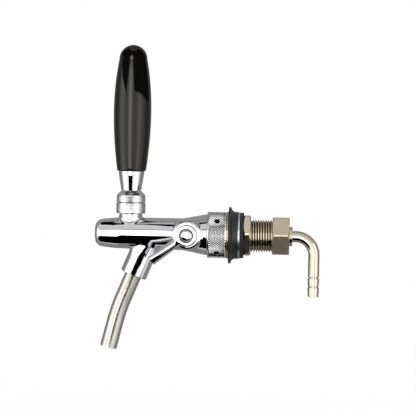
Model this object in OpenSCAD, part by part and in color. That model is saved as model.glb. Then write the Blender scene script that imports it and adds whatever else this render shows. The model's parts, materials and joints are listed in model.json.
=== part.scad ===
// Compensator beer tap on a G5/8 shank. X runs along the shank into the wall, Z is up, and the
// origin is on the shank's axis at the back face of the wall flange. The spout points to -X.

/* [Barrel] */
// Radius of the barrel's plain part
barrel_r = 11.25; // [11:0.05:12.5]
// Front end of the barrel
barrel_front_x = -101.8; // [-108:0.1:-101]
// Radius of the flared rear end
flare_r = 14.9; // [14.6:0.1:15.5]

/* [Handle] */
// Place of the handle's axis along the barrel
neck_x = -76.8; // [-77.5:0.1:-76]
// Outer radius of the neck
neck_r = 8.25; // [8.2:0.05:9]
// Height of the lever ball's centre
pivot_z = 20.56; // [20.4:0.02:20.7]
// Radius of the lever ball
ball_r = 4.8; // [4.7:0.05:4.8]
// Radius of the knurled rings on the neck
bonnet_r = 10.35; // [10.2:0.05:11.5]
// Height of the top of the grip
grip_top_z = 133.6; // [125:0.5:150]
// Largest radius of the grip
grip_r = 13.3; // [12:0.1:15]

/* [Spout] */
// Angle of the spout boss from the vertical
boss_tilt = 22.5; // [21:0.5:24]
// Length of the spout boss from the barrel's axis
boss_length = 31.8; // [30:0.1:36]
// Radius of the spout boss
boss_r = 9.6; // [8.8:0.05:10]
// Outer radius of the spout tube
spout_r = 6; // [5.8:0.05:6]
// Inner radius of the spout tube
spout_bore_r = 5.2; // [4.5:0.1:5.3]
// Angle of the spout's end from the vertical
spout_end_tilt = 14; // [10:0.5:16]

/* [Flow control] */
// Place of the flow lever's axis along the barrel
flow_x = -35.8; // [-36.2:0.1:-35.4]
// Radius of the side boss
side_boss_r = 10.7; // [9.5:0.1:11]
// Length of the flow lever, from its axis to its end
flow_arm_length = 30.3; // [26:0.1:36]
// Angle of the flow lever below the barrel
flow_arm_drop = 36; // [30:1:42]
// Throw of the eccentric pin
pin_throw = 2.5; // [2.3:0.1:2.5]

/* [Shank] */
// Radius over the G5/8 thread
thread_r = 11.455; // [11.455]
// Radius of the shank's bore
shank_bore_r = 5.5; // [4.5:0.1:6]
// Radius of the flange's rim
flange_r = 20; // [19:0.5:26]
// Width across the flats of the lock nut
lock_nut_af = 27.5; // [27:0.5:30]
// Width across the flats of the union nut
union_nut_af = 26; // [26:0.5:28]

/* [Tail] */
// Outer radius of the tail pipe
tail_r = 4; // [3.8:0.05:4.2]
// Inner radius of the tail pipe
tail_bore_r = 2.75; // [2:0.05:3]
// Radius of the elbow's centre line
elbow_r = 13; // [12:0.5:16]
// Height of the tail's lower end
tail_end_z = -42.4; // [-46:0.1:-42]

/* [Hidden] */
$fn = 48;

// Cuts run this far past the faces that they open.
past = 1;

// Barrel and its bores
nose_r = 4.6;
nose_flat_r = 5.1;
taper_x = -88;
flare_x = -40;
body_rear_x = -22;
spigot_r = 14.15;
spigot_rear_x = -13.4;
chamber_r = 7.2;
chamber_x = -83;
guide_r = 4.1;
guide_x = -98;
seat_front_x = -58;
seat_rear_x = -55;
seat_r = 5.2;
inlet_r = 8.2;
inlet_x = -41;
cone_bore_r = 11;
cone_bore_x = -27;

// Neck, ball joint and rings
neck_top_z = 21.5;
neck_thread_r = 7.6;
neck_shoulder_z = 14;
seat_floor_z = 13.4;
seat_bore_r = 6.3;
lever_reach_r = 7.6;
lever_reach_z = 5;
lever_throat_r = 5.6;
bonnet_lip_z = 24.9;
ring_split_z = 22;
collar_r = 8.5;
collar_top_z = 26;
dome_r = 11.9;
dome_mouth_r = 6.9;
dish_r = 12.15;
lock_ring_r = 10.2;
stem_r = 3;
stud_r = 4;
tip_r = 2.4;
ferrule_top_z = 44.2;
grip_base_r = 10.2;
grip_belly_z = 85.5;
grip_shoulder_z = 123.5;
grip_shoulder_r = 9.9;
insert_r = 5;
insert_top_z = 66;
stud_top_z = 62;

// Spout: the boss's root behind the neck, and the tube's stretches from the boss to the cut end
boss_root = 14.8;
boss_flare = 0.4;
boss_bore_r = 5;
spout_in_boss = 9;
spout_straight = 18;
spout_arc_r = 120;
spout_end_length = 19;

// Flow control, along -Y
side_face_y = 15;
spindle_r = 3.5;
spindle_inner_y = 8.3;
spindle_neck_r = 2.5;
screw_r = 2.05;
hub_r = 7.8;
hub_inner_y = 15.3;
hub_outer_y = 21.6;
bush_r = 6.8;
bush_inner_y = 11.7;
pin_r = 1.5;
pin_tip_y = 4.4;
pin_phase = 5;
pin_room_r = pin_throw + pin_r + 0.3;
seal_room_r = 5.2;
seal_inner_y = 9.85;
arm_y = 18.9;
screw_floor_y = 19.1;
recess_r = 4.9;
recess_y = 19.8;

// Coupling, flange and clamp, along X
nut_front_x = -21.7;
nut_rear_x = -7.8;
nut_r = 16.4;
nut_lip_x = -10.1;
spanner_hole_r = 2;
spanner_hole_x = -14.8;
shank_collar_r = 13.8;
shank_collar_x = -12;
flange_front_x = -6.9;
retainer_r = 16.8;
ring_r = 16.5;
ring_t = 1.2;
rubber_t = 2.6;
lock_nut_t = 5;
lock_nut_turn = 37;
lock_nut_x = ring_t + rubber_t;
union_x = 24.1;
union_rear_x = 36.2;
union_nut_turn = 34.5;
union_floor_t = 2;
shank_rear_x = 31.6;
thread_gap = 0.1;

// Tail
tail_flange_r = 10.8;
tail_flange_x = 33.9;
tail_gasket_t = 1.2;
stub_r = 6.85;
stub_rear_x = 38.3;
elbow_x = 40.8;
barb_r = 4.15;
barb_neck_r = 3.7;
barb_length = 6.4;

// Turns a profile of [radius, place] points about the X axis.
module turned_x(points) {
    rotate([0, 90, 0])
        rotate_extrude($fn = 72)
            polygon(points);
}

// Turns a profile of [radius, height] points about the handle's axis.
module turned_neck(points) {
    translate([neck_x, 0, 0])
        rotate_extrude($fn = 72)
            polygon(points);
}

// Turns a profile of [radius, depth] points about the flow lever's axis, depth running to -Y.
module turned_side(points) {
    translate([flow_x, 0, 0])
        rotate([90, 0, 0])
            rotate_extrude($fn = 60)
                polygon(points);
}

// Places its children along the spout boss, whose axis starts on the barrel's axis.
module along_boss(distance) {
    translate([neck_x + boss_root, 0, 0])
        rotate([0, 180 + boss_tilt, 0])
            translate([0, 0, distance])
                children();
}

// Points on an arc of radius r about [cr, cz], as [radius, height].
function arc(cr, cz, r, from, to, steps) =
    [for (i = [0:steps]) let (a = from + (to - from) * i / steps) [cr + r * cos(a), cz + r * sin(a)]];

// Points on the bulging side of the grip between two heights, as part of one large circle.
function bulge(r0, z0, r1, z1, steps) =
    let (rise = z1 - z0, swell = r1 - r0, radius = (rise * rise + swell * swell) / (2 * swell))
    [for (i = [0:steps]) let (z = z0 + rise * i / steps)
        [r1 - radius + sqrt(radius * radius - pow(z1 - z, 2)), z]];

// A hexagonal prism along X with chamfered corners at one or both ends.
module hexagon(across_flats, length, turn) {
    corner = across_flats / 2 / cos(30);
    intersection() {
        rotate([0, 90, 0])
            rotate([0, 0, turn])
                cylinder(h = length, r = corner, $fn = 6);
        turned_x([
            [0, 0], [across_flats / 2 + 0.2, 0], [corner + 0.1, 0.9], [corner + 0.1, length - 0.9],
            [across_flats / 2 + 0.2, length], [0, length]
        ]);
    }
}

module barrel_outside() {
    turned_x(concat(
        [[0, barrel_front_x]],
        arc(nose_flat_r, barrel_front_x + nose_r, nose_r, -90, -8, 6),
        [[barrel_r - 0.3, taper_x], [barrel_r, -65], [barrel_r, flare_x], [barrel_r + 0.45, flare_x + 3],
            [flare_r, body_rear_x], [spigot_r, body_rear_x], [spigot_r, spigot_rear_x],
            [0, spigot_rear_x]]
    ));
}

module barrel_bores() {
    turned_x([
        [0, guide_x], [guide_r, guide_x], [guide_r, chamber_x], [chamber_r, chamber_x],
        [chamber_r, seat_front_x], [seat_r, seat_front_x], [seat_r, seat_rear_x], [inlet_r, seat_rear_x],
        [inlet_r, inlet_x], [cone_bore_r, cone_bore_x], [cone_bore_r, spigot_rear_x + past],
        [0, spigot_rear_x + past]
    ]);
}

module neck_outside() {
    turned_neck([
        [0, 0], [neck_r, 0], [neck_r, neck_shoulder_z], [neck_thread_r, neck_shoulder_z],
        [neck_thread_r, neck_top_z], [0, neck_top_z]
    ]);
}

module neck_bores() {
    turned_neck([
        [0, 0], [lever_reach_r, 0], [lever_reach_r, lever_reach_z], [lever_throat_r, seat_floor_z],
        [seat_bore_r, seat_floor_z], [seat_bore_r, neck_top_z + past], [0, neck_top_z + past]
    ]);
}

module side_boss_bores() {
    turned_side([
        [0, inlet_r - 2], [pin_room_r, inlet_r - 2], [pin_room_r, spindle_inner_y + 0.7],
        [spindle_r + 0.05, spindle_inner_y + 0.7], [spindle_r + 0.05, seal_inner_y],
        [seal_room_r, seal_inner_y], [seal_room_r, bush_inner_y - 0.15],
        [bush_r + 0.05, bush_inner_y - 0.15], [bush_r + 0.05, side_face_y + past],
        [0, side_face_y + past]
    ]);
}

module tap_body() {
    color("lightgray")
        difference() {
            union() {
                barrel_outside();
                neck_outside();
                along_boss(0)
                    cylinder(h = boss_length, r1 = boss_r - boss_flare, r2 = boss_r);
                turned_side([[0, 0], [side_boss_r, 0], [side_boss_r, side_face_y - 0.6],
                    [side_boss_r - 0.6, side_face_y], [0, side_face_y]]);
            }
            barrel_bores();
            neck_bores();
            side_boss_bores();
            along_boss(0)
                cylinder(h = boss_length - spout_in_boss + past, r = boss_bore_r);
            along_boss(boss_length - spout_in_boss)
                cylinder(h = spout_in_boss + past, r = spout_r);
        }
}

// The tube's cross-section. The bend is drawn a hair thinner than the straights that it joins.
module spout_section(thinning = 0) {
    difference() {
        circle(r = spout_r - thinning);
        circle(r = spout_bore_r + thinning);
    }
}

// Straight in the boss, an arc, then straight to the cut end.
module spout_tube() {
    sweep = boss_tilt - spout_end_tilt;
    color("silver")
        along_boss(boss_length - spout_in_boss)
            union() {
                linear_extrude(height = spout_in_boss + spout_straight)
                    spout_section();
                translate([-spout_arc_r, 0, spout_in_boss + spout_straight]) {
                    rotate([-90, 0, 0])
                        rotate([0, 0, -sweep])
                            rotate_extrude(angle = sweep, $fn = 96)
                                translate([spout_arc_r, 0])
                                    spout_section(0.02);
                    rotate([0, -sweep, 0])
                        translate([spout_arc_r, 0, 0])
                            linear_extrude(height = spout_end_length)
                                spout_section();
                }
            }
}

module bonnet_nut() {
    color("gainsboro")
        turned_neck([
            [neck_thread_r + 0.1, neck_shoulder_z + 0.2], [bonnet_r, neck_shoulder_z + 0.2],
            [bonnet_r, ring_split_z - 0.3], [collar_r, ring_split_z - 0.3], [collar_r, collar_top_z],
            [5.9, collar_top_z], [5.4, bonnet_lip_z], [seat_bore_r + 0.05, bonnet_lip_z],
            [seat_bore_r + 0.05, neck_top_z + 0.1], [neck_thread_r + 0.1, neck_top_z + 0.1]
        ]);
}

module lock_ring() {
    dome_low = acos(lock_ring_r / dome_r);
    dome_high = acos(dome_mouth_r / dome_r);
    color("gainsboro")
        turned_neck(concat(
            [[6, collar_top_z + 0.2], [collar_r + 0.1, collar_top_z + 0.2],
                [collar_r + 0.1, ring_split_z + 0.1], [lock_ring_r, ring_split_z + 0.1]],
            arc(0, pivot_z, dome_r, dome_low, dome_high, 5)
        ));
}

module ball_seat_lower() {
    color("white")
        difference() {
            turned_neck([
                [5.5, seat_floor_z + 0.05], [seat_bore_r - 0.05, seat_floor_z + 0.05],
                [seat_bore_r - 0.05, 19.7], [2, 19.7], [3.65, 17.4]
            ]);
            translate([neck_x, 0, pivot_z])
                sphere(r = ball_r + 0.05);
        }
}

module ball_seat_upper() {
    color("white")
        difference() {
            turned_neck([
                [2, 21.4], [seat_bore_r - 0.05, 21.4], [seat_bore_r - 0.05, bonnet_lip_z - 0.1],
                [5.1, bonnet_lip_z - 0.1], [4.2, 22.9]
            ]);
            translate([neck_x, 0, pivot_z])
                sphere(r = ball_r + 0.05);
        }
}

module ball_seal() {
    color("black")
        translate([neck_x, 0, pivot_z])
            rotate_extrude($fn = 60)
                translate([ball_r + 0.75, 0])
                    circle(r = 0.69);
}

module lever_stem() {
    color("silver")
        union() {
            turned_neck([
                [0, 0], [1.3, 0], [1.6, 3], [2.1, 16], [stem_r, 24], [stem_r, 32.6], [stud_r, 33.4],
                [stud_r, stud_top_z - 1], [stud_r - 1, stud_top_z], [0, stud_top_z]
            ]);
            translate([neck_x, 0, pivot_z])
                sphere(r = ball_r);
            translate([neck_x, 0, 0])
                sphere(r = tip_r);
        }
}

module ferrule() {
    foot_r = 7.1;
    color("lightgray")
        turned_neck(concat(
            arc(0, pivot_z, dish_r, acos((stud_r + 0.1) / dish_r), acos(foot_r / dish_r), 4),
            [[9.3, ferrule_top_z - 0.4], [9.1, ferrule_top_z], [stud_r + 0.1, ferrule_top_z]]
        ));
}

module grip() {
    base_z = ferrule_top_z + 0.1;
    dome_h = grip_top_z - grip_shoulder_z;
    upper = bulge(grip_shoulder_r, grip_shoulder_z, grip_r, grip_belly_z, 6);
    color("black")
        difference() {
            turned_neck(concat(
                [[0, base_z], [grip_base_r - 0.4, base_z]],
                bulge(grip_base_r, base_z + 0.4, grip_r, grip_belly_z, 6),
                [for (i = [1:6]) upper[6 - i]],
                [for (i = [1:8]) let (a = 90 * i / 8)
                    [grip_shoulder_r * cos(a), grip_shoulder_z + dome_h * sin(a)]]
            ));
            translate([neck_x, 0, base_z - past])
                cylinder(h = insert_top_z + 0.2 - base_z + past, r = insert_r + 0.05);
        }
}

module grip_insert() {
    color("goldenrod")
        turned_neck([
            [stud_r + 0.1, ferrule_top_z + 0.3], [insert_r, ferrule_top_z + 0.3], [insert_r, insert_top_z],
            [0, insert_top_z], [0, stud_top_z + 0.3], [stud_r + 0.1, stud_top_z + 0.3]
        ]);
}

module piston() {
    color("silver")
        difference() {
            turned_x([
                [0, -95], [3.5, -95], [guide_r - 0.1, -94.5], [guide_r - 0.1, -82.4], [5.8, -82.4],
                [5.8, -71.2], [3.2, -69], [3.2, -54.9], [2, -54.9], [2, -50.2], [0, -50.2]
            ]);
            translate([neck_x, 0, -4])
                cylinder(h = 4.01, r = tip_r + 0.35);
            translate([neck_x, 0, 0])
                cylinder(h = 7, r1 = tip_r + 0.35, r2 = 5);
        }
}

module valve_seal() {
    color("black")
        turned_x([[2.05, -54.85], [6.6, -54.85], [6.6, -52.9], [2.05, -52.9]]);
}

module piston_nut() {
    color("silver")
        translate([-52.85, 0, 0])
            difference() {
                hexagon(9, 2.4, 0);
                translate([-past, 0, 0])
                    rotate([0, 90, 0])
                        cylinder(h = 5, r = 2.05);
            }
}

module compensator_cone() {
    color("ivory")
        difference() {
            union() {
                turned_x([
                    [0, -40.2], [3, -40.2], [5, -39.2], [9, -23], [9, -21], [6, -17.5], [0, -17.5]
                ]);
                for (turn = [0, 90])
                    rotate([turn, 0, 0])
                        translate([-25, -0.9, -(cone_bore_r - 0.3)])
                            cube([7, 1.8, 2 * (cone_bore_r - 0.3)]);
            }
            translate([flow_x - pin_throw * sin(pin_phase) - pin_r - 0.3, -12, -4.4])
                cube([2 * pin_r + 0.6, 8, 4.7]);
        }
}

module spindle() {
    color("silver")
        union() {
            turned_side([
                [0, spindle_inner_y + 0.05], [spindle_r, spindle_inner_y + 0.05], [spindle_r, 15.1],
                [spindle_neck_r, 15.1], [spindle_neck_r, screw_floor_y - 0.1], [0, screw_floor_y - 0.1]
            ]);
            translate([flow_x - pin_throw * sin(pin_phase), -pin_tip_y, -pin_throw * cos(pin_phase)])
                rotate([90, 0, 0])
                    cylinder(h = spindle_inner_y - pin_tip_y + 0.5, r = pin_r);
        }
}

module spindle_seal() {
    color("black")
        translate([flow_x, -10.7, 0])
            rotate([90, 0, 0])
                rotate_extrude($fn = 60)
                    translate([4.35, 0])
                        circle(r = 0.78);
}

module spindle_bush() {
    color("goldenrod")
        turned_side([
            [spindle_r + 0.05, bush_inner_y], [bush_r, bush_inner_y], [bush_r, side_face_y],
            [spindle_r + 0.05, side_face_y]
        ]);
}

module flow_lever() {
    arm_root_r = 3;
    arm_end_r = 3.7;
    color("lightgray")
        difference() {
            union() {
                turned_side([
                    [0, hub_inner_y], [hub_r - 0.8, hub_inner_y], [hub_r, hub_inner_y + 0.8],
                    [hub_r, hub_outer_y - 1.6], [hub_r - 1.6, hub_outer_y], [0, hub_outer_y]
                ]);
                translate([flow_x, -arm_y, 0])
                    rotate([0, -90 - flow_arm_drop, 0])
                        translate([0, 0, 4])
                            cylinder(h = flow_arm_length - 4, r1 = arm_root_r, r2 = arm_end_r);
            }
            turned_side([
                [0, side_face_y - past], [spindle_neck_r + 0.05, side_face_y - past],
                [spindle_neck_r + 0.05, screw_floor_y], [screw_r, screw_floor_y], [screw_r, recess_y],
                [recess_r, recess_y], [recess_r, hub_outer_y + past], [0, hub_outer_y + past]
            ]);
        }
}

module lever_cap() {
    cap_r = recess_r - 0.1;
    color("gainsboro")
        turned_side(concat(
            [[0, recess_y + 0.05]],
            [for (a = [0:15:90]) [cap_r * cos(a), 20.4 + 1.4 * sin(a)]]
        ));
}

module coupling_nut() {
    color("lightgray")
        difference() {
            turned_x([
                [spigot_r + 0.15, nut_front_x], [nut_r - 0.9, nut_front_x], [nut_r, nut_front_x + 0.9],
                [nut_r, nut_rear_x - 0.9], [nut_r - 0.9, nut_rear_x], [thread_r + 0.3, nut_rear_x],
                [thread_r + 0.3, nut_lip_x], [spigot_r + 0.15, nut_lip_x]
            ]);
            for (turn = [40:90:310])
                rotate([-turn, 0, 0])
                    translate([spanner_hole_x, -nut_r + 1.7, 0])
                        rotate([90, 0, 0])
                            cylinder(h = 5, r = spanner_hole_r);
        }
}

module inlet_gasket() {
    color("dimgray")
        turned_x([
            [6, spigot_rear_x], [shank_collar_r - 0.3, spigot_rear_x],
            [shank_collar_r - 0.3, shank_collar_x], [6, shank_collar_x]
        ]);
}

module retaining_ring() {
    color("goldenrod")
        turned_x([
            [thread_r + 0.1, nut_rear_x + 0.1], [retainer_r, nut_rear_x + 0.1],
            [retainer_r, flange_front_x], [thread_r + 0.1, flange_front_x]
        ]);
}

module flange() {
    fillet_r = 3.3;
    rim_rear_x = -5;
    foot_r = flange_r - 0.05 - fillet_r;
    color("#202020")
        turned_x(concat(
            [[thread_r + 0.15, 0], [thread_r + 0.15, flange_front_x], [flange_r - 0.4, flange_front_x],
                [flange_r, flange_front_x + 0.4], [flange_r, rim_rear_x - 0.2],
                [flange_r - 0.05, rim_rear_x]],
            [for (a = [15:15:90])
                [foot_r + fillet_r * (1 - sin(a)), rim_rear_x + 3.2 - fillet_r * cos(a)]],
            [[foot_r, 0]]
        ));
}

module ring_washer() {
    color("silver")
        turned_x([[thread_r + 0.15, 0], [ring_r, 0], [ring_r, ring_t], [thread_r + 0.15, ring_t]]);
}

module seal_washer() {
    color("black")
        turned_x([
            [thread_r + 0.15, ring_t], [ring_r - 0.4, ring_t], [ring_r - 0.4, lock_nut_x],
            [thread_r + 0.15, lock_nut_x]
        ]);
}

module lock_nut() {
    color("wheat")
        translate([lock_nut_x, 0, 0])
            difference() {
                hexagon(lock_nut_af, lock_nut_t, lock_nut_turn);
                translate([-past, 0, 0])
                    rotate([0, 90, 0])
                        cylinder(h = lock_nut_t + 2 * past, r = thread_r + thread_gap);
            }
}

module shank() {
    relief_r = 10.3;
    color("wheat")
        turned_x([
            [shank_bore_r, shank_collar_x], [shank_collar_r, shank_collar_x],
            [shank_collar_r, nut_lip_x - 0.2], [thread_r, nut_lip_x - 0.2],
            [thread_r, shank_rear_x - 1], [relief_r, shank_rear_x],
            [shank_bore_r, shank_rear_x]
        ]);
}

module union_nut() {
    length = union_rear_x - union_x;
    color("wheat")
        translate([union_x, 0, 0])
            difference() {
                hexagon(union_nut_af, length, union_nut_turn);
                turned_x([
                    [0, -past], [thread_r + thread_gap, -past],
                    [thread_r + thread_gap, length - union_floor_t],
                    [stub_r + 0.1, length - union_floor_t], [stub_r + 0.1, length + past],
                    [0, length + past]
                ]);
            }
}

// One barb: a cone that widens away from the pipe's end, to an edge that faces the pipe.
module barb(edge_z) {
    translate([elbow_x + elbow_r, 0, edge_z - barb_length])
        cylinder(h = barb_length, r1 = barb_neck_r, r2 = barb_r);
}

module tail_path(r) {
    rotate([0, 90, 0])
        translate([0, 0, stub_rear_x - 1])
            cylinder(h = elbow_x - stub_rear_x + 1, r = r);
    translate([elbow_x, 0, -elbow_r])
        rotate([90, 0, 0])
            rotate_extrude(angle = 90, $fn = 72)
                translate([elbow_r, 0])
                    circle(r = r);
}

module tail_elbow() {
    leg_x = elbow_x + elbow_r;
    upper_edge_z = tail_end_z + 2 * barb_length;
    color("wheat")
        difference() {
            union() {
                turned_x([
                    [0, shank_rear_x + tail_gasket_t], [tail_flange_r, shank_rear_x + tail_gasket_t],
                    [tail_flange_r, tail_flange_x], [stub_r, tail_flange_x],
                    [stub_r, stub_rear_x - 0.5], [stub_r - 0.5, stub_rear_x], [0, stub_rear_x]
                ]);
                tail_path(tail_r);
                translate([leg_x, 0, upper_edge_z])
                    cylinder(h = -elbow_r - upper_edge_z, r = tail_r);
                barb(upper_edge_z);
                barb(upper_edge_z - barb_length);
            }
            rotate([0, 90, 0])
                translate([0, 0, shank_rear_x])
                    cylinder(h = elbow_x - shank_rear_x, r = tail_bore_r);
            tail_path(tail_bore_r);
            translate([leg_x, 0, tail_end_z - past])
                cylinder(h = -elbow_r - tail_end_z + past, r = tail_bore_r);
        }
}

module tail_gasket() {
    color("dimgray")
        turned_x([
            [shank_bore_r, shank_rear_x + 0.05], [10.2, shank_rear_x + 0.05],
            [10.2, shank_rear_x + tail_gasket_t - 0.05],
            [shank_bore_r, shank_rear_x + tail_gasket_t - 0.05]
        ]);
}

tap_body();
spout_tube();
bonnet_nut();
lock_ring();
ball_seat_lower();
ball_seat_upper();
ball_seal();
lever_stem();
ferrule();
grip();
grip_insert();
piston();
valve_seal();
piston_nut();
compensator_cone();
spindle();
spindle_seal();
spindle_bush();
flow_lever();
lever_cap();
coupling_nut();
inlet_gasket();
retaining_ring();
flange();
ring_washer();
seal_washer();
lock_nut();
shank();
union_nut();
tail_elbow();
tail_gasket();
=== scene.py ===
"""Compensator beer tap: chrome body, black grip, knurled nuts and nickel-plated shank, on a pale floor."""

import json
import math

import bmesh
import bpy
import numpy as np
from mathutils import Matrix, Vector


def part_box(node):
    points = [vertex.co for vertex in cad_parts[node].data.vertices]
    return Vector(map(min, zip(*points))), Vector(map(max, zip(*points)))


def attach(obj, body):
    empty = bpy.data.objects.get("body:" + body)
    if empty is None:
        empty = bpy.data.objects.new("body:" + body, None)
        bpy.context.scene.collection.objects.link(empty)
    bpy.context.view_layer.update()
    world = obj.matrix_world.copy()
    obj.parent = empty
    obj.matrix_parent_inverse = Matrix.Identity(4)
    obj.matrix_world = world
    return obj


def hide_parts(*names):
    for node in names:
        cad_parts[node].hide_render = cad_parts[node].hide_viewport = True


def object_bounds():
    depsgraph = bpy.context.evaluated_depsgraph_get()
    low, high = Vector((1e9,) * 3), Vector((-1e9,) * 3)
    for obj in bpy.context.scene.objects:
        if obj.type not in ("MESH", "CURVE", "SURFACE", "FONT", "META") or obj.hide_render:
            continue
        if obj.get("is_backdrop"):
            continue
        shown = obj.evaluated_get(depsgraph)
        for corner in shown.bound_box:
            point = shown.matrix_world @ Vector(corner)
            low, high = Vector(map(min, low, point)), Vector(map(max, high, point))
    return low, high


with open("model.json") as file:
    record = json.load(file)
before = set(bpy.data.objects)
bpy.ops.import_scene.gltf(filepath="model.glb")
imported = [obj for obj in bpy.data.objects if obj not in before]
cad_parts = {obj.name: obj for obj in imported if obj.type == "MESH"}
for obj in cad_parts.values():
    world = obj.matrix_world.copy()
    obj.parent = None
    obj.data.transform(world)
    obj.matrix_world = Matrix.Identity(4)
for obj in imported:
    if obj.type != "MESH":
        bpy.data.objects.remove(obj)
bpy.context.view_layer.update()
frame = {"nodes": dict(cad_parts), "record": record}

MM = 0.001
NUT_R = 16.4
THREAD_R = 11.455


# ---------------------------------------------------------------- places, from the CAD frame

def box_mm(node):
    """A node's lowest and highest corners at rest, in millimetres."""
    low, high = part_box(node)
    return np.array(low) / MM, np.array(high) / MM


def joint_mm(name):
    """A hinge's place, in millimetres."""
    joint = next(j for j in frame["record"]["behaviour"]["joints"] if j["name"] == name)
    return np.array(joint["pos_m"]) / MM


HANDLE_X = joint_mm("handle_tilt")[0]
PIVOT = joint_mm("handle_tilt")
FLOW_X = joint_mm("flow_lever_turn")[0]


# ---------------------------------------------------------------- mesh tools

def unit(v):
    v = np.asarray(v, float)
    return v / np.linalg.norm(v)


def straight(origin, axis):
    """A path from origin along axis: at a station it gives the centre and the ring's two directions."""
    axis = unit(axis)
    helper = np.array([0.0, 0.0, 1.0]) if abs(axis[2]) < 0.9 else np.array([1.0, 0.0, 0.0])
    first = unit(np.cross(helper, axis))
    second = np.cross(axis, first)
    return lambda s: (np.asarray(origin, float) + axis * s, first, second)


def along_x(s):
    return np.array([s, 0.0, 0.0]), np.array([0.0, -1.0, 0.0]), np.array([0.0, 0.0, 1.0])


def along_handle(s):
    return np.array([HANDLE_X, 0.0, s]), np.array([0.0, -1.0, 0.0]), np.array([1.0, 0.0, 0.0])


def along_flow(s):
    return np.array([FLOW_X, -s, 0.0]), np.array([1.0, 0.0, 0.0]), np.array([0.0, 0.0, 1.0])


def fillet(before, corner, after, radius, steps=5):
    """Points of the arc that rounds one corner of an outline."""
    before, corner, after = (np.asarray(p, float) for p in (before, corner, after))
    back, on = before - corner, after - corner
    a, b = unit(back), unit(on)
    cosine = float(np.clip(a @ b, -1, 1))
    if cosine < -0.9995:
        return [corner]
    half = math.acos(cosine) / 2
    reach = min(radius / math.tan(half), 0.48 * np.linalg.norm(back), 0.48 * np.linalg.norm(on))
    centre = corner + unit(a + b) * reach / math.cos(half)
    start, end = corner + a * reach - centre, corner + b * reach - centre
    turn = math.atan2(start[0] * end[1] - start[1] * end[0], start @ end)
    points = []
    for i in range(steps + 1):
        angle = turn * i / steps
        c, s = math.cos(angle), math.sin(angle)
        points.append(centre + np.array([c * start[0] - s * start[1], s * start[0] + c * start[1]]))
    return points


def rounded(outline, radius=0.3, closed=True):
    """An outline of (radius, station) or (radius, station, corner radius) points, its corners rounded."""
    count = len(outline)
    points = []
    for i, point in enumerate(outline):
        r = point[2] if len(point) > 2 else radius
        at_end = not closed and i in (0, count - 1)
        if at_end or r == 0:
            points.append(np.array(point[:2], float))
            continue
        before, after = outline[i - 1][:2], outline[(i + 1) % count][:2]
        points.extend(fillet(before, point[:2], after, r))
    return points


def make_object(name, verts, faces, material, sharp_deg=32, normals=None):
    """An object from millimetre points, smooth but for edges sharper than sharp_deg."""
    mesh = bpy.data.meshes.new(name)
    mesh.from_pydata((np.asarray(verts) * MM).tolist(), [], faces)
    mesh.update()
    mesh.validate()
    mesh.shade_smooth()
    if normals is None:
        mesh.set_sharp_from_angle(angle=math.radians(sharp_deg))
    else:
        mesh.normals_split_custom_set_from_vertices(np.asarray(normals).tolist())
    piece = bpy.data.objects.new(name, mesh)
    bpy.context.collection.objects.link(piece)
    mesh.materials.append(material)
    return piece


def turned(name, rows, material, path=along_x, segments=128, closed=True, relief=None, sharp_deg=32):
    """Rings of (radius, station) along a path, joined into a skin.

    closed joins the last ring to the first, for a hollow piece. Otherwise a flat face closes each end.
    relief(angles, station, radius) gives each point's own radius, for knurls, threads and flats.
    """
    angles = np.linspace(0, 2 * math.pi, segments, endpoint=False)
    rings = []
    for radius, station in rows:
        centre, first, second = path(station)
        radii = np.full(segments, float(radius))
        if relief:
            radii = relief(angles, station, radii)
        rings.append(centre + radii[:, None] * (
            np.cos(angles)[:, None] * first + np.sin(angles)[:, None] * second))
    verts = np.concatenate(rings)
    faces = []
    count = len(rows)
    for i in range(count if closed else count - 1):
        j = (i + 1) % count
        for k in range(segments):
            n = (k + 1) % segments
            faces.append((i * segments + k, i * segments + n, j * segments + n, j * segments + k))
    if not closed:
        faces.append(tuple(range(segments))[::-1])
        faces.append(tuple((count - 1) * segments + k for k in range(segments)))
    piece = make_object(name, verts, faces, material, sharp_deg)
    clean(piece, sharp_deg)
    return piece


def clean(piece, sharp_deg):
    """Joins points that fall together, drops empty faces and turns every face outwards."""
    bm = bmesh.new()
    bm.from_mesh(piece.data)
    bmesh.ops.remove_doubles(bm, verts=bm.verts, dist=2e-6)
    bmesh.ops.dissolve_degenerate(bm, edges=bm.edges, dist=1e-6)
    bmesh.ops.recalc_face_normals(bm, faces=bm.faces)
    bm.to_mesh(piece.data)
    bm.free()
    piece.data.shade_smooth()
    piece.data.set_sharp_from_angle(angle=math.radians(sharp_deg))


def spread(start, end, count):
    """Stations from start to end, both included."""
    return [start + (end - start) * i / (count - 1) for i in range(count)]


# ---------------------------------------------------------------- blended solids, as distance fields

def round_max(a, b, radius):
    """Where two solids overlap, with the edge between them rounded."""
    inner = np.minimum(np.maximum(a, b), -radius)
    return inner + np.hypot(np.maximum(a + radius, 0), np.maximum(b + radius, 0))


def blend_min(a, b, width):
    """Two solids joined, with a fillet about half as wide as width."""
    h = np.clip(0.5 + 0.5 * (b - a) / width, 0, 1)
    return b + (a - b) * h - width * h * (1 - h)


def ramp(x, softness):
    """Zero below 0 and x above it, with a soft corner."""
    return 0.5 * (x + np.sqrt(x * x + softness * softness))


def gradient(field, points, step=0.01):
    slopes = []
    for axis in range(3):
        shift = np.zeros(3)
        shift[axis] = step
        slopes.append((field(points + shift) - field(points - shift)) / (2 * step))
    return np.stack(slopes, -1)


def settle(field, points, rounds=3):
    """Moves points onto the surface where the field is zero."""
    for _ in range(rounds):
        slope = gradient(field, points)
        size = np.maximum((slope ** 2).sum(-1), 0.05)
        points = points - slope * (field(points) / size)[:, None]
    return points


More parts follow.
